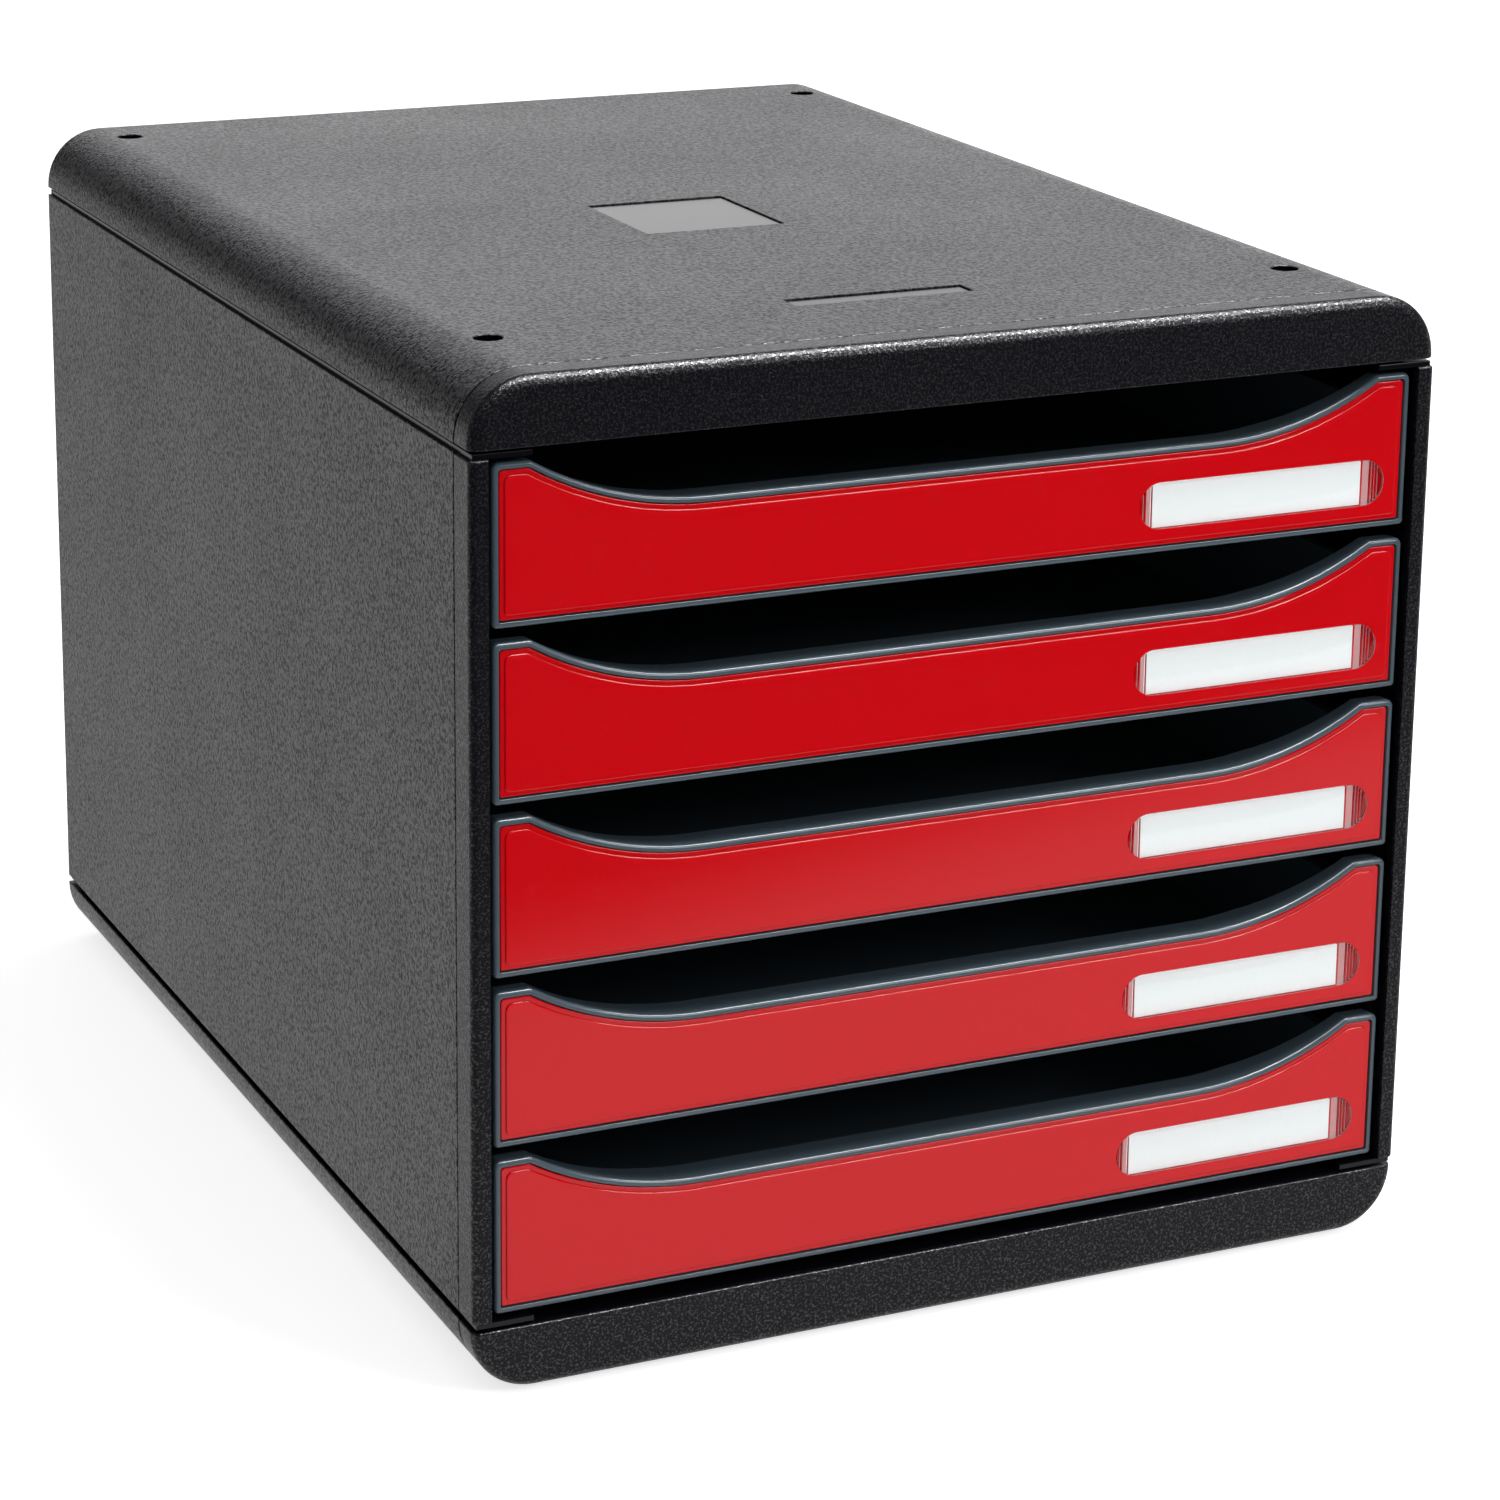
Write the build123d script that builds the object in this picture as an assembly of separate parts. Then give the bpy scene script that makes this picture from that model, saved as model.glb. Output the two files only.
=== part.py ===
from build123d import *
import math
import os

# Desktop drawer unit, in millimetres.
# X runs to the right seen from the front, Y to the back and Z up.
# The origin is at the centre of the footprint, at the height of the surface it stands on.

# Overall size
width = 278.0
depth = 372.0

# Casing shells
wall = 3.0
edge_radius = 17.3
cover_straight = 0.7
base_straight = 0.4
front_edge_radius = 3.0
strip_edge_radius = 1.8
strip_end_round = 0.7
edge_break = 0.3
mouth_round = 0.5

# Seams between the shells
seam_gap = 2.2
seam_depth = 1.0
ledge_gap = 0.7
bezel_depth = 10.55
groove_width = 0.7
fit_gap = 0.1
tongue_thickness = 2.0
tongue_length = 6.0
tongue_root = 2.0
tongue_end_gap = 0.3

# Snap nibs inside the cover and the base, which click into windows in the side panels' tongues
snap_count = 5
snap_length = 8.0
snap_height = 1.5
snap_depth = 0.8
snap_inset = 1.2
snap_gap = 0.2

# Front strips and the seam ledges that turn into the opening
strip_width = 5.0
ledge_reach = 12.0
ledge_thickness = 5.0
peg_width = 6.0
peg_thickness = 2.0
peg_length = 5.0
peg_gap = 0.2

# Stack of drawers
drawer_count = 5
front_height = 42.2
drawer_gap = 3.8
top_gap = 3.8
side_gap = 1.6
face_recess = 1.6
travel = 250.0
running_gap = 0.3

# Drawer front with its finger dip
rim = 1.9
dip_inset = 56.5
dip_radius = 94.0
dip_depth = 13.6
plate_thickness = 3.4
pocket_depth = 2.2
insert_gap = 0.35
rim_round = 1.0
rim_inner_round = 0.2
outer_corner = 2.0
lower_corner_share = 0.6
skirt_depth = 6.0
lip_depth = 11.0
lip_crest = 2.0
lip_thickness = 2.0
lip_drop = 0.8
lip_taper = 31.0

# Coloured front insert
plateau_inset = 1.3
plateau_height = 0.5
insert_round = 0.35
clip_inset = 30.5
clip_pitch = 60.0
clip_width = 6.0
clip_height = 3.0
clip_level = 9.0
clip_length = 1.0
clip_gap = 0.1

# Label window and card
label_inset = 5.0
label_level = 12.8
label_length = 75.6
label_height = 12.8
label_depth = 1.5
window_gap = 0.1
window_proud = 0.1
card_length = 64.0
card_height = 11.9
card_thickness = 0.3
card_shift = -1.45
card_gap = 0.2
rib_pitch = 0.95
rib_groove = 0.4
rib_depth = 0.35

# Tray of a drawer
tray_wall = 2.0
tray_height = 32.0
tray_lift = 1.0
tray_corner = 4.0
tray_gap = 1.0
flange_thickness = 2.0
lug_length = 8.0
lug_inset = 6.0
lug_gap = 1.4

# Runner rails on the side panels
rail_depth = 8.0
rail_thickness = 3.5
rail_front_gap = 4.0
stop_depth = 4.1
stop_length = 4.0
stop_gap = 0.9
stiffener_depth = 2.5
stiffener_thickness = 2.0
stiffener_count = 4

# Back panel
back_thickness = 3.0
back_inset = 2.0
back_gap = 0.2
bump_length = 2.7
bump_width = 12.0
bump_height = 10.0
bump_place = 60.0
nib_width = 20.0
nib_depth = 1.0
nib_place = 70.0

# Stacking sockets in the cover and feet under the base
socket_side_inset = 21.8
socket_front_inset = 43.2
socket_rear_inset = 18.7
socket_radius = 3.9
socket_depth = 2.0
socket_boss_wall = 1.6
socket_round = 0.3
stack_gap = 0.3
foot_height = 1.5
stem_radius = 2.3
stem_gap = 0.1
foot_head_radius = 3.2
foot_head_height = 1.5

# Bare recesses in the top of the cover
recess_depth = 0.4
large_recess = (43.0, 45.0)
large_recess_centre = (-5.5, -13.0)
small_recess = (52.7, 8.6)
small_recess_x = -2.4
small_recess_inset = 52.6

# How far an edge may lie from a plane and still count as in it
tolerance = 0.001

# Places along the depth, from front to back
front_y = -depth / 2
rear_y = depth / 2
bezel_rear = front_y + bezel_depth
shell_front = bezel_rear + groove_width
tongue_rear = shell_front + tongue_length
face_y = front_y + face_recess
pocket_y = face_y + pocket_depth
plate_rear = face_y + plate_thickness
skirt_rear = face_y + skirt_depth
lip_rear = face_y + lip_depth
back_rear = rear_y - back_inset
back_front = back_rear - back_thickness
tray_rear = back_front - bump_length - running_gap
rail_front = tongue_rear + rail_front_gap
rail_rear = back_front - tongue_end_gap
lug_rear = tray_rear - lug_inset
lug_front = lug_rear - lug_length
stop_rear = lug_front - travel - running_gap

# Heights, from the bottom up
pitch = front_height + drawer_gap
casing_bottom = foot_height
base_top = casing_bottom + edge_radius + base_straight
first_front = base_top + drawer_gap
last_top = first_front + (drawer_count - 1) * pitch + front_height
cover_bottom = last_top + top_gap
casing_top = cover_bottom + cover_straight + edge_radius
panel_bottom = base_top + seam_gap
panel_top = cover_bottom - seam_gap
ledge_top = cover_bottom - ledge_gap
ledge_bottom = base_top + ledge_gap
flange_top = tray_lift + tray_height
flange_bottom = flange_top - flange_thickness

# Half widths, from the outside in
half_width = width / 2
inner_half = half_width - wall
opening_half = half_width - strip_width
front_half = opening_half - side_gap
insert_half = front_half - rim
dip_half = insert_half - dip_inset
label_x = insert_half - label_inset - label_length / 2
tray_half = inner_half - rail_depth - tray_gap
flange_half = inner_half - stop_depth - stop_gap
lug_half = inner_half - lug_gap
rail_half = inner_half - rail_depth
tongue_outset = wall + fit_gap
tongue_inset = tongue_outset + tongue_thickness


def area(x0, x1, z0, z1):
    """A rectangle in the X and Z plane."""
    return Pos((x0 + x1) / 2, (z0 + z1) / 2) * Rectangle(x1 - x0, z1 - z0)


def block(x0, x1, y0, y1, z0, z1):
    """A box between three pairs of limits."""
    centre = Pos((x0 + x1) / 2, (y0 + y1) / 2, (z0 + z1) / 2)
    return centre * Box(x1 - x0, y1 - y0, z1 - z0)


def upright(y):
    """A plane that faces the front at the depth y."""
    return Plane(origin=(0, y, 0), x_dir=(1, 0, 0), z_dir=(0, -1, 0))


def slab(section, y_front, y_rear):
    """A section in X and Z, given depth between two places along Y."""
    return extrude(upright(y_rear) * section, amount=y_rear - y_front)


def edges_at(edges, axis, place):
    """The edges that lie in the plane at one place along an axis."""
    return edges.filter_by_position(axis, place - tolerance, place + tolerance)


def edges_at_depth(solid, y):
    return edges_at(solid.edges(), Axis.Y, y)


def edges_at_height(solid, z):
    return edges_at(solid.edges(), Axis.Z, z)


def side_block(side, x0, x1, y0, y1, z0, z1):
    """A box on the right, or its twin on the left where side is -1."""
    return block(min(side * x0, side * x1), max(side * x0, side * x1), y0, y1, z0, z1)


# Casing


def casing_section(inset):
    """The round-cornered outline of the casing, drawn in by an inset."""
    tall = casing_top - casing_bottom
    outline = RectangleRounded(width - 2 * inset, tall - 2 * inset, edge_radius - inset)
    return Pos(0, (casing_top + casing_bottom) / 2) * outline


def casing_ring(outer_inset, inner_inset):
    """A wall that follows the casing's outline between two insets."""
    return casing_section(outer_inset) - casing_section(inner_inset)


def cover_area(bottom):
    return area(-half_width, half_width, bottom, casing_top)


def base_area(top):
    return area(-half_width, half_width, casing_bottom, top)


def socket_centres():
    """Places of the stacking sockets and of the feet below them."""
    x = half_width - socket_side_inset
    front = front_y + socket_front_inset
    rear = rear_y - socket_rear_inset
    return [(side * x, y) for y in (front, rear) for side in (-1, 1)]


def panel_nibs(z0, z1):
    """Snap nibs that hold the back panel in a shell."""
    half = nib_width / 2
    y0 = back_rear + fit_gap
    places = (-nib_place, nib_place)
    return [block(x - half, x + half, y0, y0 + nib_depth, z0, z1) for x in places]


def snap_blocks(edge, inward, gap, depth):
    """Snap nibs along both sides of a shell's edge, or the windows that take them."""
    y0 = tongue_rear + tongue_end_gap
    step = (back_front - tongue_end_gap - y0) / snap_count
    half = snap_length / 2 + gap
    ends = (edge + inward * (snap_inset - gap), edge + inward * (snap_inset + snap_height + gap))
    blocks = []
    for i in range(snap_count):
        y = y0 + step * (i + 0.5)
        for side in (-1, 1):
            nib = side_block(side, inner_half - depth, inner_half, y - half, y + half, min(ends), max(ends))
            blocks.append(nib)
    return blocks


def shell_blank(outline, y0, y1, level):
    """A solid shell between two depths, its outer edges broken except across the open side."""
    blank = slab(outline, y0, y1)
    ends = edges_at_depth(blank, y0) + edges_at_depth(blank, y1)
    outline_edges = ends - edges_at(ends, Axis.Z, level)
    long_edges = edges_at_height(blank, level).filter_by(Axis.Y)
    return fillet(outline_edges + long_edges, edge_break)


def make_top_cover():
    cover = shell_blank(casing_section(0) & cover_area(cover_bottom), shell_front, rear_y, cover_bottom)
    cover -= slab(casing_section(wall) & cover_area(cover_bottom), shell_front, rear_y)
    inner_top = casing_top - wall
    for nib in panel_nibs(inner_top - nib_depth, inner_top + nib_depth):
        cover += nib
    for nib in snap_blocks(cover_bottom, 1, 0, snap_depth):
        cover += nib
    boss_radius = socket_radius + socket_boss_wall
    for x, y in socket_centres():
        cover += Pos(x, y, inner_top - socket_depth / 2 + fit_gap) * Cylinder(boss_radius, socket_depth)
    for x, y in socket_centres():
        cover -= Pos(x, y, casing_top) * Cylinder(socket_radius, 2 * socket_depth)
    mouths = edges_at_height(cover, casing_top).filter_by(GeomType.CIRCLE)
    cover = fillet(mouths, socket_round)
    sizes = (large_recess, small_recess)
    centres = (large_recess_centre, (small_recess_x, front_y + small_recess_inset))
    for (length, breadth), (x, y) in zip(sizes, centres):
        cover -= Pos(x, y, casing_top) * Box(length, breadth, 2 * recess_depth)
    return cover


def make_base():
    base = shell_blank(casing_section(0) & base_area(base_top), shell_front, rear_y, base_top)
    base -= slab(casing_section(wall) & base_area(base_top), shell_front, rear_y)
    inner_bottom = casing_bottom + wall
    for nib in panel_nibs(inner_bottom - nib_depth, inner_bottom + nib_depth):
        base += nib
    for nib in snap_blocks(base_top, -1, 0, snap_depth):
        base += nib
    for x, y in socket_centres():
        base -= Pos(x, y, casing_bottom) * Cylinder(stem_radius + stem_gap, 4 * wall)
    return base


def bezel_tongue(limits):
    """The groove floor and the tongue behind a front piece, within limits in X and Z."""
    y0 = bezel_rear - tongue_root
    floor = slab(casing_ring(seam_depth, tongue_inset) & limits, y0, shell_front)
    tongue = slab(casing_ring(tongue_outset, tongue_inset) & limits, y0, tongue_rear)
    return floor + tongue


def peg_limits():
    """The nearer and farther X and Y limits of a strip's peg."""
    x0 = opening_half - ledge_reach / 2 - peg_width / 2
    y0 = front_y + wall + 2 * peg_gap
    return x0, x0 + peg_width, y0, y0 + peg_thickness


def peg_slots(z0, z1):
    """Slots in a front piece for the pegs of both strips."""
    x0, x1, y0, y1 = peg_limits()
    gap = peg_gap
    sides = (-1, 1)
    return [side_block(s, x0 - gap, x1 + gap, y0 - gap, y1 + gap, z0, z1) for s in sides]


def front_blank(outline, level):
    """The solid block of a visor or a sill, with its outer edges rounded."""
    blank = slab(outline, front_y, bezel_rear)
    edges = edges_at_depth(blank, front_y)
    blank = fillet(edges - edges_at(edges, Axis.Z, level), front_edge_radius)
    blank = fillet(edges_at_height(blank, level) - edges_at_depth(blank, bezel_rear), mouth_round)
    rear = edges_at_depth(blank, bezel_rear)
    return fillet(rear - edges_at_height(blank, level), edge_break)


def make_front_visor():
    visor = front_blank(casing_section(0) & cover_area(cover_bottom), cover_bottom)
    visor -= slab(casing_section(wall) & cover_area(cover_bottom + wall), front_y + wall, bezel_rear)
    visor += bezel_tongue(cover_area(cover_bottom))
    for slot in peg_slots(cover_bottom - wall, cover_bottom + wall + tongue_inset):
        visor -= slot
    return visor


def make_front_sill():
    sill = front_blank(casing_section(0) & base_area(base_top), base_top)
    sill -= slab(casing_section(wall) & base_area(base_top - wall), front_y + wall, bezel_rear)
    sill += bezel_tongue(base_area(base_top))
    for slot in peg_slots(base_top - wall - tongue_inset, base_top + wall):
        sill -= slot
    return sill


def strip_face(side):
    """The grained corner piece of a strip, with its outer edges rounded."""
    outer_x = side * half_width
    face = side_block(side, opening_half, half_width, front_y, front_y + wall, panel_bottom, panel_top)
    face += side_block(side, inner_half, half_width, front_y, bezel_rear, panel_bottom, panel_top)
    corner = face.edges().filter_by(Axis.Z).group_by(Axis.Y)[0]
    face = fillet(edges_at(corner, Axis.X, outer_x), strip_edge_radius)
    ends = edges_at_height(face, panel_bottom) + edges_at_height(face, panel_top)
    outline_edges = edges_at(ends, Axis.X, outer_x) + edges_at(ends, Axis.Y, front_y)
    return fillet(outline_edges + ends.filter_by(GeomType.CIRCLE), strip_end_round)


def make_front_strip(side):
    strip = strip_face(side)
    tongue_half = half_width - tongue_inset
    floor_half = half_width - seam_depth
    y0 = bezel_rear - tongue_root
    strip += side_block(side, tongue_half, floor_half, y0, shell_front, panel_bottom, panel_top)
    low = panel_bottom + tongue_root + tongue_end_gap
    high = panel_top - tongue_root - tongue_end_gap
    strip += side_block(side, tongue_half, half_width - tongue_outset, y0, tongue_rear, low, high)
    ledge_y = front_y + seam_depth
    ledge_end = opening_half - ledge_reach
    x0, x1, peg_y0, peg_y1 = peg_limits()
    ledges = (
        (panel_top, ledge_top, ledge_top, cover_bottom + peg_length),
        (ledge_bottom, panel_bottom, ledge_bottom, base_top - peg_length),
    )
    for low, high, rim_level, peg_end in ledges:
        ledge = side_block(side, ledge_end, floor_half, ledge_y, ledge_y + ledge_thickness, low, high)
        ledge += side_block(side, tongue_half, floor_half, ledge_y, shell_front, low, high)
        rims = edges_at_height(ledge, rim_level)
        outline_edges = edges_at(rims, Axis.X, side * floor_half) + edges_at(rims, Axis.Y, ledge_y)
        strip += fillet(outline_edges, edge_break)
        middle = (low + high) / 2
        strip += side_block(side, x0, x1, peg_y0, peg_y1, min(middle, peg_end), max(middle, peg_end))
    return strip


def drawer_levels():
    """Heights of the drawer fronts' lower edges, from the top drawer down."""
    return [first_front + i * pitch for i in reversed(range(drawer_count))]


def panel_tongues(side):
    """The seam ledges of a side panel and the tongues that reach into the cover and the base."""
    tongue_half = half_width - tongue_inset
    floor_half = half_width - seam_depth
    x0 = min(0, side * half_width)
    ring = casing_ring(tongue_outset, tongue_inset)
    y0 = tongue_rear + tongue_end_gap
    y1 = back_front - tongue_end_gap
    top = area(x0, x0 + half_width, panel_top - tongue_root, cover_bottom + tongue_length)
    bottom = area(x0, x0 + half_width, base_top - tongue_length, panel_bottom + tongue_root)
    tongues = slab(ring & top, y0, y1) + slab(ring & bottom, y0, y1)
    ledges = ((panel_top - tongue_root, ledge_top), (ledge_bottom, panel_bottom + tongue_root))
    for low, high in ledges:
        tongues += side_block(side, tongue_half, floor_half, shell_front, y1, low, high)
        tongues += side_block(side, inner_half, floor_half, shell_front, rear_y, low, high)
    rims = edges_at_height(tongues, ledge_top) + edges_at_height(tongues, ledge_bottom)
    tongues = fillet(edges_at(rims, Axis.X, side * floor_half), edge_break)
    for edge, inward in ((cover_bottom, 1), (base_top, -1)):
        for window in snap_blocks(edge, inward, snap_gap, tongue_inset):
            tongues -= window
    return tongues


def panel_runners(side):
    """A lower and an upper rail for each drawer, with the stop that catches the tray's lug."""
    runners = Part()
    stop_x = inner_half - stop_depth
    for level in drawer_levels():
        low = level + flange_bottom - running_gap
        high = level + flange_top + running_gap
        runners += side_block(side, rail_half, inner_half, rail_front, rail_rear, low - rail_thickness, low)
        runners += side_block(side, rail_half, inner_half, rail_front, rail_rear, high, high + rail_thickness)
        runners += side_block(side, stop_x, inner_half, stop_rear - stop_length, stop_rear, low, high)
    return runners


def panel_stiffeners(side):
    """Upright ribs on the wall between one drawer's rails and the next."""
    ribs = Part()
    step = (rail_rear - rail_front) / (stiffener_count + 1)
    x0 = inner_half - stiffener_depth
    for level in drawer_levels()[1:]:
        low = level + flange_top + running_gap + rail_thickness
        high = level + pitch + flange_bottom - running_gap - rail_thickness
        for i in range(stiffener_count):
            y = rail_front + step * (i + 1)
            ribs += side_block(side, x0, inner_half, y, y + stiffener_thickness, low, high)
    return ribs


def make_side_panel(side):
    outer_x = side * half_width
    panel = side_block(side, inner_half, half_width, shell_front, rear_y, panel_bottom, panel_top)
    panel = fillet(edges_at(panel.edges(), Axis.X, outer_x), edge_break)
    panel += panel_tongues(side)
    panel += panel_runners(side)
    panel += panel_stiffeners(side)
    nib_y = back_rear + fit_gap
    nib_x = inner_half - nib_depth
    middle = (panel_bottom + panel_top) / 2
    for z in (middle - nib_place, middle + nib_place):
        low = z - nib_width / 2
        panel += side_block(side, nib_x, inner_half, nib_y, nib_y + nib_depth, low, low + nib_width)
    return panel


def make_back_panel():
    panel = slab(casing_section(wall + back_gap), back_front, back_rear)
    for level in drawer_levels():
        low = level + (tray_lift + tray_height - bump_height) / 2
        for x in (-bump_place, bump_place):
            x0 = x - bump_width / 2
            y0 = back_front - bump_length
            panel += block(x0, x0 + bump_width, y0, back_front, low, low + bump_height)
    return panel


def make_foot(x, y):
    foot_radius = socket_radius - stack_gap
    floor_top = casing_bottom + wall
    foot = Pos(0, 0, foot_height / 2) * Cylinder(foot_radius, foot_height)
    foot += Pos(0, 0, floor_top / 2) * Cylinder(stem_radius, floor_top)
    foot += Pos(0, 0, floor_top + foot_head_height / 2) * Cylinder(foot_head_radius, foot_head_height)
    return Pos(x, y, 0) * foot


# Drawers, modelled with the lower edge of the front at height 0


def front_profile(grow, corner):
    """Outline of a drawer front with its finger dip, grown outward from the insert."""
    half = insert_half + grow
    bottom = rim - grow
    end_top = front_height - rim + grow
    radius = dip_radius - grow
    centre_z = front_height - rim - dip_depth + dip_radius
    sweep = math.degrees(math.acos((centre_z - end_top) / radius))
    right = CenterArc((dip_half, centre_z), radius, -90, sweep)
    left = CenterArc((-dip_half, centre_z), radius, -90 - sweep, sweep)
    edges = [right, left]
    edges.append(Line(left @ 1, right @ 0))
    edges.append(Polyline(right @ 1, (half, end_top), (half, bottom), (-half, bottom), (-half, end_top), left @ 0))
    outline = make_face(Curve() + edges)
    shoulders = outline.vertices().filter_by_position(Axis.Y, end_top - tolerance, end_top + tolerance)
    outline = fillet(shoulders, corner)
    lower = outline.vertices().filter_by_position(Axis.Y, bottom - tolerance, bottom + tolerance)
    return fillet(lower, lower_corner_share * corner)


def clip_blocks(gap):
    """Clips on the back of the insert, or the slots that take them."""
    half = clip_width / 2 + gap
    z0 = clip_level - gap
    z1 = clip_level + clip_height + gap
    end = plate_rear + clip_length
    outer = insert_half - clip_inset
    places = (-outer, clip_pitch - outer, outer - clip_pitch, outer)
    return [block(x - half, x + half, pocket_y - gap, end, z0, z1) for x in places]


def make_lip(outer):
    """The rolled finger lip, which slopes down to the back and is deepest in the dip."""
    band = outer - Pos(0, -lip_thickness) * outer
    start = face_y + lip_crest
    sections = [upright(start) * band, upright(lip_rear) * Pos(0, -lip_drop) * band]
    lip = loft(sections, ruled=True)
    wide = front_half
    narrow = dip_half + lip_taper / 2
    shoulder = dip_half + 1.5 * lip_taper
    plan = Polygon(
        (-wide, start),
        (wide, start),
        (wide, skirt_rear),
        (shoulder, skirt_rear),
        (narrow, lip_rear),
        (-narrow, lip_rear),
        (-shoulder, skirt_rear),
        (-wide, skirt_rear),
        align=None,
    )
    return lip & extrude(plan, amount=front_height)


def make_tray():
    outer = front_profile(rim, outer_corner)
    plate = slab(outer, face_y, face_y + lip_crest)
    plate = fillet(edges_at_depth(plate, face_y), rim_round)
    slope = lip_drop / (lip_depth - lip_crest)
    drop = slope * (plate_thickness - lip_crest)
    low_outer = outer & Pos(0, -drop) * outer
    plate += slab(low_outer, face_y + lip_crest, plate_rear)
    skirt_drop = slope * (skirt_depth - lip_crest)
    skirt = (outer - front_profile(0, outer_corner)) & Pos(0, -skirt_drop) * outer
    tray = plate + slab(skirt, plate_rear, skirt_rear) + make_lip(outer)
    tray -= slab(front_profile(insert_gap, outer_corner - rim_round), face_y, pocket_y)
    rim_face = tray.faces().sort_by(Axis.Y)[0]
    tray = fillet(rim_face.inner_wires()[0].edges(), rim_inner_round)
    middle_y = (plate_rear + tray_rear) / 2
    length = tray_rear - plate_rear
    outside = Rectangle(2 * tray_half, length)
    outside = fillet(outside.vertices().group_by(Axis.Y)[-1], tray_corner)
    inside = Rectangle(2 * (tray_half - tray_wall), length + 2 * tray_wall)
    inside = Pos(0, -2 * tray_wall) * inside
    inside = fillet(inside.vertices().group_by(Axis.Y)[-1], tray_corner - tray_wall)
    tray += Pos(0, middle_y, tray_lift) * extrude(outside, amount=tray_wall)
    walls = extrude(outside - inside, amount=tray_height)
    tray += Pos(0, middle_y, tray_lift) * walls
    for side in (-1, 1):
        x0 = tray_half - tray_wall
        tray += side_block(side, x0, flange_half, skirt_rear, lug_rear, flange_bottom, flange_top)
        tray += side_block(side, x0, lug_half, lug_front, lug_rear, flange_bottom, flange_top)
    for slot in clip_blocks(clip_gap):
        tray -= slot
    return tray


def label_slot(gap):
    """The stadium outline of the label window."""
    outline = SlotOverall(label_length - 2 * gap, label_height - 2 * gap)
    return Pos(label_x, label_level) * outline


def make_front_insert():
    border_y = face_y + plateau_height
    plate = slab(front_profile(0, outer_corner - rim_round), border_y, pocket_y)
    plate = fillet(edges_at_depth(plate, border_y), insert_round)
    plateau = slab(front_profile(-plateau_inset, outer_corner), face_y, border_y + insert_round)
    plateau = fillet(edges_at_depth(plateau, face_y), insert_round)
    insert = plate + plateau
    insert -= slab(label_slot(0), face_y, face_y + label_depth)
    for clip in clip_blocks(0):
        insert += clip
    return insert


def card_area(gap, height):
    """The rectangle of the label card, with a gap at each end."""
    half = card_length / 2 + gap
    x = label_x + card_shift
    return area(x - half, x + half, label_level - height / 2, label_level + height / 2)


def make_label_window():
    rear = face_y + label_depth
    front = face_y - window_proud
    window = slab(label_slot(window_gap), front, rear)
    window -= slab(card_area(card_gap, label_height), rear - card_thickness - card_gap / 2, rear)
    card_x = label_x + card_shift
    ends = (
        (label_x - label_length / 2, card_x - card_length / 2 - card_gap),
        (card_x + card_length / 2 + card_gap, label_x + label_length / 2),
    )
    for x0, x1 in ends:
        count = int((x1 - x0 - rib_groove) / rib_pitch)
        first = (x0 + x1 - (count - 1) * rib_pitch) / 2
        for i in range(count):
            x = first + i * rib_pitch
            groove = area(x - rib_groove / 2, x + rib_groove / 2, 0, front_height)
            window -= slab(groove, front, front + rib_depth)
    return window


def make_label_card():
    rear = face_y + label_depth
    return slab(card_area(0, card_height), rear - card_thickness, rear)


def save(name, solid):
    export_step(solid, f"parts/{name}.step")


def main():
    os.makedirs("parts", exist_ok=True)
    save("top_cover", make_top_cover())
    save("base", make_base())
    save("front_visor", make_front_visor())
    save("front_sill", make_front_sill())
    save("back_panel", make_back_panel())
    for side, name in ((-1, "left"), (1, "right")):
        save(f"{name}_side_panel", make_side_panel(side))
        save(f"{name}_front_strip", make_front_strip(side))
    foot_names = ("front_left", "front_right", "rear_left", "rear_right")
    for name, (x, y) in zip(foot_names, socket_centres()):
        save(f"foot_{name}", make_foot(x, y))
    drawer = {
        "tray": make_tray(),
        "front_panel": make_front_insert(),
        "label_window": make_label_window(),
        "label_card": make_label_card(),
    }
    for number, level in enumerate(drawer_levels(), start=1):
        for name, solid in drawer.items():
            save(f"drawer_{number}_{name}", Pos(0, 0, level) * solid)


main()
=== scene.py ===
import math
import bpy
from mathutils import Matrix, Vector


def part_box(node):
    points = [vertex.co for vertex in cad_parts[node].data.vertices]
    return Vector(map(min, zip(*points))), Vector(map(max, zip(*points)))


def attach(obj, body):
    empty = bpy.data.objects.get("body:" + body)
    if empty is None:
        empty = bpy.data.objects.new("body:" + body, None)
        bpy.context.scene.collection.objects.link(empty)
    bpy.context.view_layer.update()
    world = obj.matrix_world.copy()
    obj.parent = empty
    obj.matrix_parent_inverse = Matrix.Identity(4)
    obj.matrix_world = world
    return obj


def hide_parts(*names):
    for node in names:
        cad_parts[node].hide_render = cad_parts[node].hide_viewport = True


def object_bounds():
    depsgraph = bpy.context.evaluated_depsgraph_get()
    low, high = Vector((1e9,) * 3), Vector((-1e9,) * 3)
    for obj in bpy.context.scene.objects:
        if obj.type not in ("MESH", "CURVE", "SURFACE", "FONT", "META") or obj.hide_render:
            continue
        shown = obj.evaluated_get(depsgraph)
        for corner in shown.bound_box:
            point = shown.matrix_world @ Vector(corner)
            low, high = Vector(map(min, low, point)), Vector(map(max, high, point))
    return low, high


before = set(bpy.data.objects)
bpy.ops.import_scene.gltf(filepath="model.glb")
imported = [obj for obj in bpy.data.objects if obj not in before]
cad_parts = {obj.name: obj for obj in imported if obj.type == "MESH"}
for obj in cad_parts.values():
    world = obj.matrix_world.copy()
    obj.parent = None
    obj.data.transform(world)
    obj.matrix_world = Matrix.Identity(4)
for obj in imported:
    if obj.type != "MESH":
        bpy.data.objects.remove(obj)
cad_box = [list(corner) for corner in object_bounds()]

# Lengths are in metres, and MM turns millimetres into them. Places and patterns inside a material are in
# millimetres.
MM = 0.001

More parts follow.
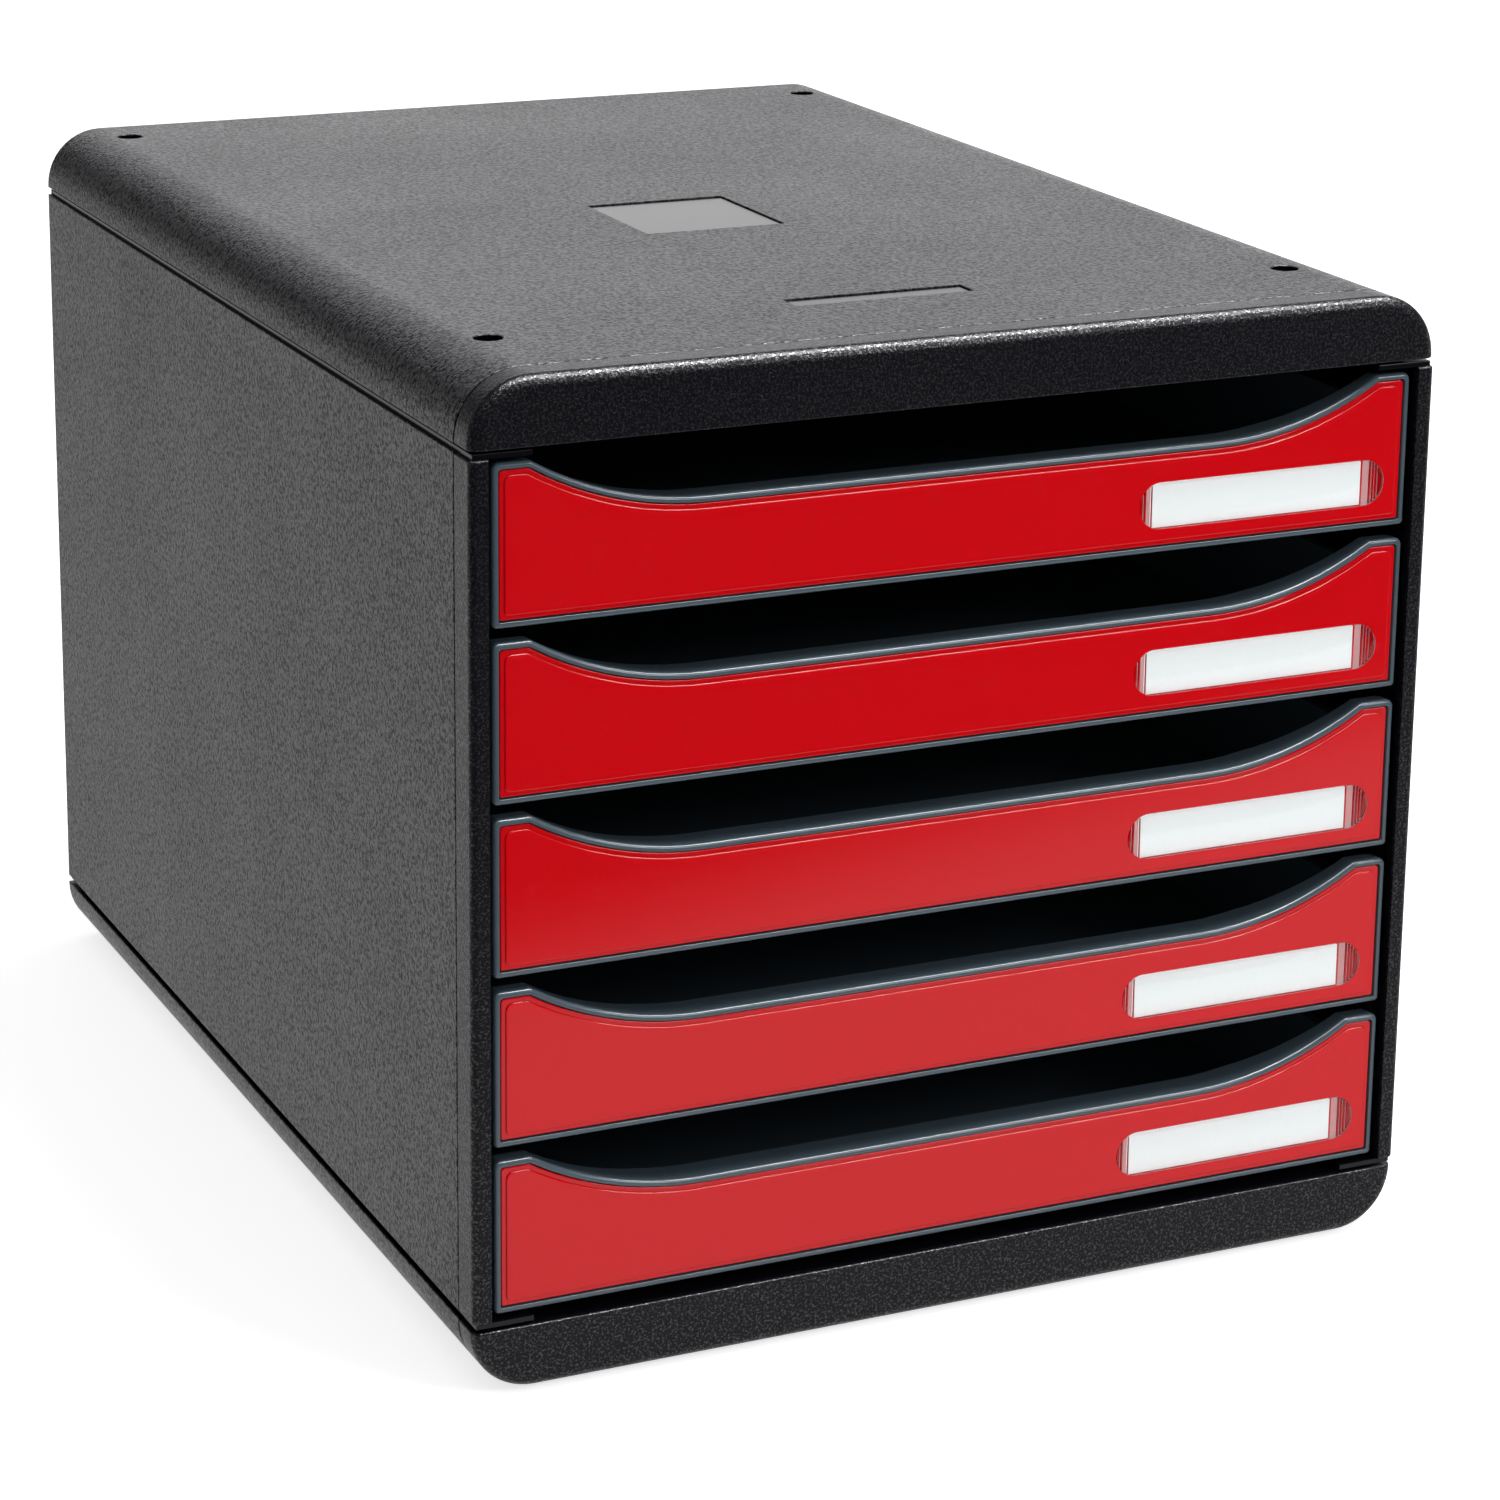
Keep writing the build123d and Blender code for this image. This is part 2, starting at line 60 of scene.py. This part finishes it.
# Places read from the frame
LOW, HIGH = (Vector(corner) for corner in cad_box)
HALF_WIDTH = HIGH.x
FRONT_Y = LOW.y
BACK_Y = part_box("back_panel")[1].y
CASING_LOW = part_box("base")[0].z
CASING_MIDDLE = (CASING_LOW + HIGH.z) / 2
CASING_HALF_HEIGHT = (HIGH.z - CASING_LOW) / 2

# Radius of the casing's long edges, and what repeats
EDGE_RADIUS = 17.3 * MM
DRAWERS = range(1, 6)
SIDES = ("left", "right")

# Camera, solved from the photograph's edges, with its angles in degrees. Its axis meets the square
# photograph above the middle, and both numbers are in the photograph's pixels.
PHOTO_SIDE = 1500
AXIS_ABOVE_MIDDLE = 250
CAMERA_PLACE = (-506.17 * MM, -1142.26 * MM, 512.77 * MM)
CAMERA_HEADING = -24.83
CAMERA_TILT = -14.83
CAMERA_ROLL = 0.684
CAMERA_LENS = 104.15
CAMERA_SENSOR = 36.0
CAMERA_SHIFT_Y = -AXIS_ABOVE_MIDDLE / PHOTO_SIDE
CAMERA_NEAR, CAMERA_FAR = 0.05, 50.0

# Casing's plastic: the noise levels of hollow and crest, the size and spread of its wear in roughness,
# and how rough and how shiny it is where it has no grain
CREST_LEVELS = (0.38, 0.62)
WEAR_SIZE = 60.0
WEAR_SPREAD = 0.1
SMOOTH_ROUGHNESS = 0.22
SMOOTH_SHINE = 0.32

# Label windows
WINDOW_FACETS = 64
NEAR_MIDDLE = 0.1 * MM
FACING_FRONT = -0.9
WINDOW_BORDER = 0.9 * MM
RIB_MARGIN = 0.2 * MM
RIB_PITCH = 0.95 * MM
RIB_GROOVE = 0.4 * MM
RIB_DEPTH = 0.5 * MM
RIM_ROUND = 0.3 * MM
RIM_STEPS = 2
RIM_ANGLE = math.radians(50)
SMOOTH_ANGLE = math.radians(35)

# White table. The lower drawers mirror its front edge, a line through a point, in millimetres.
TABLE_SIZE = 12.0
TABLE_EDGE_POINT = (-17.0, -471.0)
TABLE_EDGE_ALONG = (422.0, -128.0)
TABLE_EDGE_BLUR = 110.0
TABLE_GLOW = 0.68
TABLE_MIRRORED = 0.8
BEYOND_MIRRORED = 0.03

# Levels of the white room for what the camera sees, for mirrored rays and for all other light
ROOM_SEEN = 1.0
ROOM_MIRRORED = 0.12
ROOM_LIGHT = 0.5
WHITE = (1.0, 1.0, 1.0, 1.0)


# Modelling helpers


def deselect():
    """Leave nothing selected, so that an operator acts on new geometry alone."""
    if bpy.context.object and bpy.context.object.mode != "OBJECT":
        bpy.ops.object.mode_set(mode="OBJECT")
    bpy.ops.object.select_all(action="DESELECT")


def make_active(piece):
    """Select one piece alone and make it the active one."""
    deselect()
    piece.select_set(True)
    bpy.context.view_layer.objects.active = piece


def select(piece, kind, wanted):
    """Enter edit mode with the vertices or the faces selected that a test wants."""
    make_active(piece)
    mesh = piece.data
    for part in (*mesh.polygons, *mesh.edges, *mesh.vertices):
        part.select = False
    for part in mesh.vertices if kind == "VERT" else mesh.polygons:
        part.select = wanted(part)
    bpy.ops.object.mode_set(mode="EDIT")
    bpy.ops.mesh.select_mode(type=kind)


# Camera and lamp helpers


def make_camera():
    """Stand the camera where the photograph was taken from."""
    data = bpy.data.cameras.new("camera")
    data.lens = CAMERA_LENS
    data.sensor_width = CAMERA_SENSOR
    data.shift_y = CAMERA_SHIFT_Y
    data.clip_start = CAMERA_NEAR
    data.clip_end = CAMERA_FAR
    camera = bpy.data.objects.new("camera", data)
    heading = math.radians(CAMERA_HEADING)
    tilt = math.radians(CAMERA_TILT)
    ahead = Vector((-math.sin(heading) * math.cos(tilt), math.cos(heading) * math.cos(tilt), math.sin(tilt)))
    level = Vector((math.cos(heading), math.sin(heading), 0))
    right = Matrix.Rotation(-math.radians(CAMERA_ROLL), 3, ahead) @ level
    up = right.cross(ahead)
    turn = Matrix((right, up, -ahead)).transposed().to_4x4()
    camera.matrix_world = Matrix.Translation(CAMERA_PLACE) @ turn
    bpy.context.scene.collection.objects.link(camera)
    bpy.context.scene.camera = camera


def area_lamp(name, place, target, size, watts):
    """A soft rectangular lamp that faces a target."""
    data = bpy.data.lights.new(name, "AREA")
    data.shape = "RECTANGLE"
    data.size, data.size_y = size
    data.energy = watts
    lamp = bpy.data.objects.new(name, data)
    lamp.location = place
    lamp.rotation_euler = (Vector(target) - Vector(place)).to_track_quat("-Z", "Y").to_euler()
    bpy.context.scene.collection.objects.link(lamp)


# Material helpers. A noise's scale is one over the real size of its pattern in millimetres.


def linear(code):
    """An sRGB hex colour as linear red, green, blue and full alpha."""
    parts = [int(code[i:i + 2], 16) / 255 for i in (1, 3, 5)]
    return tuple(c / 12.92 if c <= 0.04045 else ((c + 0.055) / 1.055) ** 2.4 for c in parts) + (1.0,)


def add(tree, kind, inputs=None, **settings):
    """Add a node with its settings, and set or link its inputs; its first output is returned."""
    made = tree.nodes.new(kind)
    for name, value in settings.items():
        setattr(made, name, value)
    for socket, value in (inputs or {}).items():
        if isinstance(value, bpy.types.NodeSocket):
            tree.links.new(value, made.inputs[socket])
        else:
            made.inputs[socket].default_value = value
    return made.outputs[0] if len(made.outputs) else None


def new_material(name):
    """An empty material and the place on its surface in millimetres."""
    material = bpy.data.materials.new(name)
    material.use_nodes = True
    tree = material.node_tree
    tree.nodes.clear()
    coordinates = add(tree, "ShaderNodeTexCoord").node.outputs["Object"]
    place = add(tree, "ShaderNodeVectorMath", {0: coordinates, 3: 1 / MM}, operation="SCALE")
    return material, tree, place


def finish(tree, shader):
    """Send a shader to the material's surface."""
    add(tree, "ShaderNodeOutputMaterial", {"Surface": shader})


def give(names, material):
    """Put a material on CAD nodes."""
    for name in names:
        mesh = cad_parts[name].data
        mesh.materials.clear()
        mesh.materials.append(material)


# Materials


def casing_skin(tree, place, skin):
    """1 within a depth of the casing's rounded outline, its front and its back, and 0 deeper inside."""
    middle = (0.0, 0.0, CASING_MIDDLE / MM)
    straight = ((HALF_WIDTH - EDGE_RADIUS) / MM, 0.0, (CASING_HALF_HEIGHT - EDGE_RADIUS) / MM)
    centred = add(tree, "ShaderNodeVectorMath", {0: place, 1: middle}, operation="SUBTRACT")
    spread = add(tree, "ShaderNodeVectorMath", {0: centred}, operation="ABSOLUTE")
    past = add(tree, "ShaderNodeVectorMath", {0: spread, 1: straight}, operation="SUBTRACT")
    past = add(tree, "ShaderNodeVectorMath", {0: past, 1: (0.0, 0.0, 0.0)}, operation="MAXIMUM")
    across = add(tree, "ShaderNodeVectorMath", {0: past, 1: (1.0, 0.0, 1.0)}, operation="MULTIPLY")
    reach = add(tree, "ShaderNodeVectorMath", {0: across}, operation="LENGTH").node.outputs["Value"]
    around = add(tree, "ShaderNodeMath", {0: reach, 1: EDGE_RADIUS / MM - skin}, operation="GREATER_THAN")
    depth = add(tree, "ShaderNodeSeparateXYZ", {0: place}).node.outputs["Y"]
    ahead = add(tree, "ShaderNodeMath", {0: depth, 1: FRONT_Y / MM + skin}, operation="LESS_THAN")
    behind = add(tree, "ShaderNodeMath", {0: depth, 1: BACK_Y / MM - skin}, operation="GREATER_THAN")
    ends = add(tree, "ShaderNodeMath", {0: ahead, 1: behind}, operation="MAXIMUM")
    return add(tree, "ShaderNodeMath", {0: around, 1: ends}, operation="MAXIMUM")


# ABS, spark-eroded mould: an even grain, dull in the hollows and with a spark of higher specular level on
# each crest.
# Its base colour is painted: darker in the hollows, a painted shade, and lighter on the crests, a painted
# sheen.
# Inside the skin it is smooth, as the tool's core leaves it, and has the hollows' colour. The shell's grain
# is a little coarser than the real one, so that it shows in the render.
def grained_abs(name, base_and_hollow_shade, painted_crest_sheen, grain, octaves, relief, roughness, skin, spark, dull_shine, spark_shine):
    material, tree, place = new_material(name)
    grained = casing_skin(tree, place, skin)
    pattern = add(tree, "ShaderNodeTexNoise", {
        "Vector": place, "Scale": 1 / grain, "Detail": octaves, "Roughness": 0.8, "Distortion": 0.4})
    crests = add(tree, "ShaderNodeMapRange", {
        0: pattern, "From Min": CREST_LEVELS[0], "From Max": CREST_LEVELS[1]})
    sparks = add(tree, "ShaderNodeMapRange", {0: pattern, "From Min": spark[0], "From Max": spark[1]})
    bump = add(tree, "ShaderNodeBump", {"Strength": grained, "Distance": relief * MM, "Height": crests})

    # Painted light: by the grain's height, the base colour mixes the hollows' colour, a painted shade, with
    # the crests' colour, a painted sheen.
    painted_sheen_share = add(tree, "ShaderNodeMath", {0: grained, 1: crests}, operation="MULTIPLY")
    shade = add(tree, "ShaderNodeMix", {0: painted_sheen_share, 6: linear(base_and_hollow_shade), 7: linear(painted_crest_sheen)}, data_type="RGBA")
    wear = add(tree, "ShaderNodeTexNoise", {"Vector": place, "Scale": 1 / WEAR_SIZE, "Detail": 2.0})
    matt = add(tree, "ShaderNodeMath", {
        0: wear, 1: WEAR_SPREAD, 2: roughness - WEAR_SPREAD / 2}, operation="MULTIPLY_ADD")
    rough = add(tree, "ShaderNodeMix", {0: grained, 2: SMOOTH_ROUGHNESS, 3: matt})
    shine = add(tree, "ShaderNodeMath", {0: sparks, 1: spark_shine, 2: dull_shine}, operation="MULTIPLY_ADD")
    shine = add(tree, "ShaderNodeMix", {0: grained, 2: SMOOTH_SHINE, 3: shine})
    finish(tree, add(tree, "ShaderNodeBsdfPrincipled", {
        "Base Color": shade.node.outputs[2], "Roughness": rough, "Normal": bump,
        "Specular IOR Level": shine}))
    return material


# Polystyrene, high-gloss moulded and self-coloured: deep even red under a clear hard skin
def gloss_polystyrene(name, colour):
    material, tree, place = new_material(name)
    wave = add(tree, "ShaderNodeTexNoise", {"Vector": place, "Scale": 1 / 45, "Detail": 1.0})
    bump = add(tree, "ShaderNodeBump", {"Strength": 1.0, "Distance": 0.03 * MM, "Height": wave})
    dust = add(tree, "ShaderNodeTexNoise", {"Vector": place, "Scale": 1 / 3, "Detail": 2.0})
    rough = add(tree, "ShaderNodeMapRange", {
        0: dust, "From Min": 0.55, "From Max": 0.8, "To Min": 0.1, "To Max": 0.17})
    finish(tree, add(tree, "ShaderNodeBsdfPrincipled", {
        "Base Color": linear(colour), "Roughness": rough, "Normal": bump}))
    return material


# ABS, satin mould: the slate drawer frames, smooth with a soft bright line on each rounded edge
def satin_abs(name, colour):
    material, tree, place = new_material(name)
    fine = add(tree, "ShaderNodeTexNoise", {"Vector": place, "Scale": 1 / 0.5, "Detail": 2.0})
    bump = add(tree, "ShaderNodeBump", {"Strength": 0.3, "Distance": 0.01 * MM, "Height": fine})
    tone = add(tree, "ShaderNodeTexNoise", {"Vector": place, "Scale": 1 / 30, "Detail": 2.0})
    rough = add(tree, "ShaderNodeMath", {0: tone, 1: 0.1, 2: 0.15}, operation="MULTIPLY_ADD")
    finish(tree, add(tree, "ShaderNodeBsdfPrincipled", {
        "Base Color": linear(colour), "Roughness": rough, "Normal": bump}))
    return material


# Crystal polystyrene, moulded: clear window with crisp edges, through which light reaches the card.
# The grooves are frosted between two depths behind the front, and show as pale lines.
def clear_polystyrene(name, colour, frost_colour, frost_from, frost_to, frost_share):
    material, tree, place = new_material(name)
    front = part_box("drawer_1_label_window")[0].y / MM
    depth = add(tree, "ShaderNodeSeparateXYZ", {0: place}).node.outputs["Y"]
    behind = add(tree, "ShaderNodeMath", {0: depth, 1: front + frost_from}, operation="GREATER_THAN")
    before = add(tree, "ShaderNodeMath", {0: depth, 1: front + frost_to}, operation="LESS_THAN")
    frosted = add(tree, "ShaderNodeMath", {0: behind, 1: before}, operation="MULTIPLY")
    frosted = add(tree, "ShaderNodeMath", {0: frosted, 1: frost_share}, operation="MULTIPLY")
    wave = add(tree, "ShaderNodeTexNoise", {"Vector": place, "Scale": 1 / 12})
    rough = add(tree, "ShaderNodeMath", {0: wave, 1: 0.04, 2: 0.01}, operation="MULTIPLY_ADD")
    glass = add(tree, "ShaderNodeBsdfPrincipled", {
        "Base Color": linear(colour), "Roughness": rough, "IOR": 1.5, "Transmission Weight": 1.0})
    frost = add(tree, "ShaderNodeBsdfDiffuse", {"Color": linear(frost_colour)})
    skin = add(tree, "ShaderNodeMixShader", {0: frosted, 1: glass, 2: frost})
    path = add(tree, "ShaderNodeLightPath").node.outputs
    passing = add(tree, "ShaderNodeMath", {
        0: path["Is Shadow Ray"], 1: path["Is Diffuse Ray"]}, operation="MAXIMUM")
    clear = add(tree, "ShaderNodeBsdfTransparent", {"Color": linear(colour)})
    finish(tree, add(tree, "ShaderNodeMixShader", {0: passing, 1: skin, 2: clear}))
    return material


# Uncoated card: bright white with a faint fibre mottle
def card_stock(name, colour, fibre_colour):
    material, tree, place = new_material(name)
    fibre = add(tree, "ShaderNodeTexNoise", {"Vector": place, "Scale": 1 / 0.6, "Detail": 4.0})
    bump = add(tree, "ShaderNodeBump", {"Strength": 0.4, "Distance": 0.02 * MM, "Height": fibre})
    shade = add(tree, "ShaderNodeMix", {
        0: fibre, 6: linear(colour), 7: linear(fibre_colour)}, data_type="RGBA")
    finish(tree, add(tree, "ShaderNodeBsdfPrincipled", {
        "Base Color": shade.node.outputs[2], "Roughness": 0.8, "Normal": bump}))
    return material


# Thermoplastic rubber, moulded: dull black feet
def moulded_rubber(name, colour):
    material, tree, place = new_material(name)
    fine = add(tree, "ShaderNodeTexNoise", {"Vector": place, "Scale": 1 / 0.4, "Detail": 3.0})
    bump = add(tree, "ShaderNodeBump", {"Strength": 0.5, "Distance": 0.03 * MM, "Height": fine})
    rough = add(tree, "ShaderNodeMath", {0: fine, 1: 0.15, 2: 0.7}, operation="MULTIPLY_ADD")
    finish(tree, add(tree, "ShaderNodeBsdfPrincipled", {
        "Base Color": linear(colour), "Roughness": rough, "Normal": bump}))
    return material


# Label windows, modelled over the plain CAD ones


def round_window():
    """The first drawer's window: a disc on edge whose halves are pulled apart."""
    low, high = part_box("drawer_1_label_window")
    centre = (low + high) / 2
    size = high - low
    straight = (size.x - size.z) / 2
    deselect()
    bpy.ops.mesh.primitive_cylinder_add(
        vertices=WINDOW_FACETS, radius=size.z / 2, depth=size.y, location=centre,
        rotation=(math.radians(90), 0, 0))
    window = bpy.context.object
    bpy.ops.object.transform_apply(location=True, rotation=True, scale=True)
    for side in (-1, 1):
        select(window, "VERT", lambda v: side * (v.co.x - centre.x) > NEAR_MIDDLE)
        bpy.ops.transform.translate(value=(side * straight, 0, 0))
        bpy.ops.object.mode_set(mode="OBJECT")
    return window


def sink_grooves(window):
    """Cut the front of both ends, beside the card, into strips and sink every other one."""
    low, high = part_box("drawer_1_label_window")
    card_low, card_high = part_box("drawer_1_label_card")
    ends = (
        (low.x + WINDOW_BORDER, card_low.x - RIB_MARGIN),
        (card_high.x + RIB_MARGIN, high.x - WINDOW_BORDER))
    for start, stop in ends:
        count = int((stop - start) / RIB_PITCH)
        grooves = [(start + RIB_PITCH * i, start + RIB_PITCH * i + RIB_GROOVE) for i in range(count)]
        for groove in grooves:
            for cut in groove:
                select(window, "VERT", lambda v: True)
                bpy.ops.mesh.bisect(plane_co=(cut, 0, 0), plane_no=(1, 0, 0))
                bpy.ops.object.mode_set(mode="OBJECT")
        select(window, "FACE", lambda f: f.normal.y < FACING_FRONT and any(
            start_x < f.center.x < stop_x for start_x, stop_x in grooves))
        bpy.ops.mesh.extrude_region_move(TRANSFORM_OT_translate={"value": (0, RIB_DEPTH, 0)})
        bpy.ops.object.mode_set(mode="OBJECT")


def round_rim(window):
    """Round the window's rim and the ribs' edges."""
    bevel = window.modifiers.new("rim", "BEVEL")
    bevel.width = RIM_ROUND
    bevel.segments = RIM_STEPS
    bevel.limit_method = "ANGLE"
    bevel.angle_limit = RIM_ANGLE
    make_active(window)
    bpy.ops.object.modifier_apply(modifier=bevel.name)
    bpy.ops.object.shade_smooth_by_angle(angle=SMOOTH_ANGLE)


def copy_window(first, number):
    """A copy of the first window, with its own mesh, moved to another drawer."""
    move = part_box(f"drawer_{number}_label_window")[0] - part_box("drawer_1_label_window")[0]
    make_active(first)
    bpy.ops.object.duplicate()
    bpy.ops.transform.translate(value=move)
    bpy.ops.object.transform_apply(location=True, rotation=True, scale=True)
    return bpy.context.object


def make_label_windows(material):
    """A clear stadium-shaped window for each drawer, with a rounded rim and upright ribs in both ends."""
    first = round_window()
    sink_grooves(first)
    round_rim(first)
    first.data.materials.append(material)
    windows = [first if number == 1 else copy_window(first, number) for number in DRAWERS]
    for number, window in zip(DRAWERS, windows):
        window.name = f"label_window_{number}"
        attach(window, f"drawer_{number}")
        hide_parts(f"drawer_{number}_label_window")


# Table, cards and room


def staged_plane(name, centre, size, turn):
    """A flat card of the studio, made at its size, turned about X and moved to its place."""
    deselect()
    bpy.ops.mesh.primitive_plane_add(size=1, location=(0, 0, 0))
    card = bpy.context.object
    card.name = name
    card.scale = (size[0], size[1], 1)
    card.rotation_euler = (turn, 0, 0)
    card.location = centre
    bpy.ops.object.transform_apply(location=True, rotation=True, scale=True)
    return card


def make_table():
    """A white table that keeps the shadow; in mirrored light it ends at its front edge."""
    table = staged_plane("floor", (0, 0, 0), (TABLE_SIZE, TABLE_SIZE), 0)
    material, tree, place = new_material("studio_floor")
    along = Vector(TABLE_EDGE_ALONG).normalized()
    inward = (-along.y, along.x, 0.0)
    from_edge = add(tree, "ShaderNodeVectorMath", {
        0: place, 1: (*TABLE_EDGE_POINT, 0.0)}, operation="SUBTRACT")
    inside = add(tree, "ShaderNodeVectorMath", {0: from_edge, 1: inward}, operation="DOT_PRODUCT")
    level = add(tree, "ShaderNodeMapRange", {
        0: inside.node.outputs["Value"], "From Min": -TABLE_EDGE_BLUR / 2, "From Max": TABLE_EDGE_BLUR / 2,
        "To Min": BEYOND_MIRRORED, "To Max": TABLE_MIRRORED}, interpolation_type="SMOOTHSTEP")
    path = add(tree, "ShaderNodeLightPath").node.outputs
    glow = add(tree, "ShaderNodeMath", {0: path["Is Camera Ray"], 1: TABLE_GLOW}, operation="MULTIPLY")
    matt = add(tree, "ShaderNodeBsdfPrincipled", {
        "Base Color": linear("#F2F2F2"), "Roughness": 0.9, "Specular IOR Level": 0.0,
        "Emission Color": WHITE, "Emission Strength": glow})
    mirrored = add(tree, "ShaderNodeEmission", {"Color": WHITE, "Strength": level})
    finish(tree, add(tree, "ShaderNodeMixShader", {0: path["Is Glossy Ray"], 1: matt, 2: mirrored}))
    table.data.materials.append(material)


def glossy_card(name, centre, size, turn, axis, fade_from, fade_to, levels):
    """A glowing card seen only in reflections, whose level fades between two places on an axis."""
    card = staged_plane(name, centre, size, turn)
    material, tree, place = new_material(name)
    along = add(tree, "ShaderNodeSeparateXYZ", {0: place}).node.outputs[axis]
    level = add(tree, "ShaderNodeMapRange", {
        0: along, "From Min": fade_from, "From Max": fade_to, "To Min": levels[0], "To Max": levels[1]})
    finish(tree, add(tree, "ShaderNodeEmission", {"Color": WHITE, "Strength": level}))
    card.data.materials.append(material)
    card.visible_camera = False
    card.visible_diffuse = False
    card.visible_transmission = False
    card.visible_shadow = False


def make_room():
    """White to the camera, dim in reflections and even for the rest."""
    world = bpy.data.worlds.new("studio")
    bpy.context.scene.world = world
    world.use_nodes = True
    tree = world.node_tree
    tree.nodes.clear()
    path = add(tree, "ShaderNodeLightPath").node.outputs
    seen = add(tree, "ShaderNodeMath", {
        0: path["Is Camera Ray"], 1: path["Is Transmission Ray"]}, operation="MAXIMUM")
    strength = add(tree, "ShaderNodeMix", {0: seen, 2: ROOM_LIGHT, 3: ROOM_SEEN})
    strength = add(tree, "ShaderNodeMix", {0: path["Is Glossy Ray"], 2: strength, 3: ROOM_MIRRORED})
    back = add(tree, "ShaderNodeBackground", {"Color": WHITE, "Strength": strength})
    add(tree, "ShaderNodeOutputWorld", {"Surface": back})


# The unit

# Of each pair of colours below, the first is the plastic's own colour with a painted shade in the hollows,
# and the second is a painted sheen on the crests.
shell_abs = grained_abs(
    "shell_abs_fine_grain", base_and_hollow_shade="#050507", painted_crest_sheen="#303035", grain=1.25, octaves=2.0, relief=0.105,
    roughness=0.36, skin=0.3, spark=(0.42, 0.62), dull_shine=0.1, spark_shine=0.75)
bezel_abs = grained_abs(
    "bezel_abs_coarse_grain", base_and_hollow_shade="#0A0A10", painted_crest_sheen="#13131A", grain=0.75, octaves=1.0, relief=0.055,
    roughness=0.31, skin=0.95, spark=(0.54, 0.64), dull_shine=0.2, spark_shine=0.7)
give(["top_cover", "base", "back_panel"] + [f"{side}_side_panel" for side in SIDES], shell_abs)
give(["front_visor", "front_sill"] + [f"{side}_front_strip" for side in SIDES], bezel_abs)
feet = [f"foot_{end}_{side}" for end in ("front", "rear") for side in SIDES]
give(feet, moulded_rubber("foot_rubber", "#202022"))
give([f"drawer_{n}_tray" for n in DRAWERS], satin_abs("drawer_abs_satin", "#47545D"))
give([f"drawer_{n}_front_panel" for n in DRAWERS], gloss_polystyrene("front_polystyrene_red", "#C8000C"))
give([f"drawer_{n}_label_card" for n in DRAWERS], card_stock("label_card_white", "#F4F6F6", "#FCFDFD"))
make_label_windows(clear_polystyrene(
    "window_polystyrene_clear", "#F8FCFC", "#F0F4F4", frost_from=0.35, frost_to=0.65, frost_share=0.3))

# The studio

make_camera()
make_table()
make_room()
glossy_card(
    "rear_card", centre=(1.5, 2.6, 0.75), size=(3.2, 1.5), turn=math.radians(90),
    axis="Z", fade_from=850.0, fade_to=1500.0, levels=(1.6, 0.3))
glossy_card(
    "overhead_card", centre=(0.6, -0.3, 1.75), size=(2.0, 0.7), turn=math.radians(180),
    axis="Y", fade_from=-650.0, fade_to=50.0, levels=(22.0, 28.0))
area_lamp("top_softbox", place=(0.45, -0.3, 1.6), target=(0, 0, 0.2), size=(0.8, 0.4), watts=17)
area_lamp("front_softbox", place=(1.1, -1.7, 1.2), target=(0, 0, 0.15), size=(0.7, 0.7), watts=14)

bpy.context.scene.view_settings.view_transform = "Standard"
